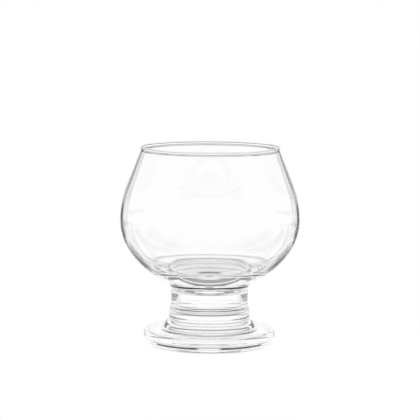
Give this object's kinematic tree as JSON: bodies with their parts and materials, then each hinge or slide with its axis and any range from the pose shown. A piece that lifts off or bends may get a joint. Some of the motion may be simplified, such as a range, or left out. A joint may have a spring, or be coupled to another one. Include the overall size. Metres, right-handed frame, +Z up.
{
  "type": "brandy snifter",
  "caption": "Short brandy snifter of clear glass: a round bowl that narrows to a beaded rim, on a short thick stem and a heavy round foot, for sipping spirits from the cupped hand.",
  "frame": {"origin": "centre of the ring that the foot stands on, at table height", "axes": "+Z up along the axis the glass is turned about; +X and +Y are interchangeable"},
  "size_m": [0.0762, 0.0762, 0.0846],
  "materials": {
    "bowl_glass": "clear, fire-polished",
    "stem_glass": "clear, fire-polished",
    "foot_glass": "clear, fire-polished"
  },
  "bodies": {
    "root": {"bowl": "bowl_glass", "stem": "stem_glass", "foot": "foot_glass"}
  },
  "joints": []
}
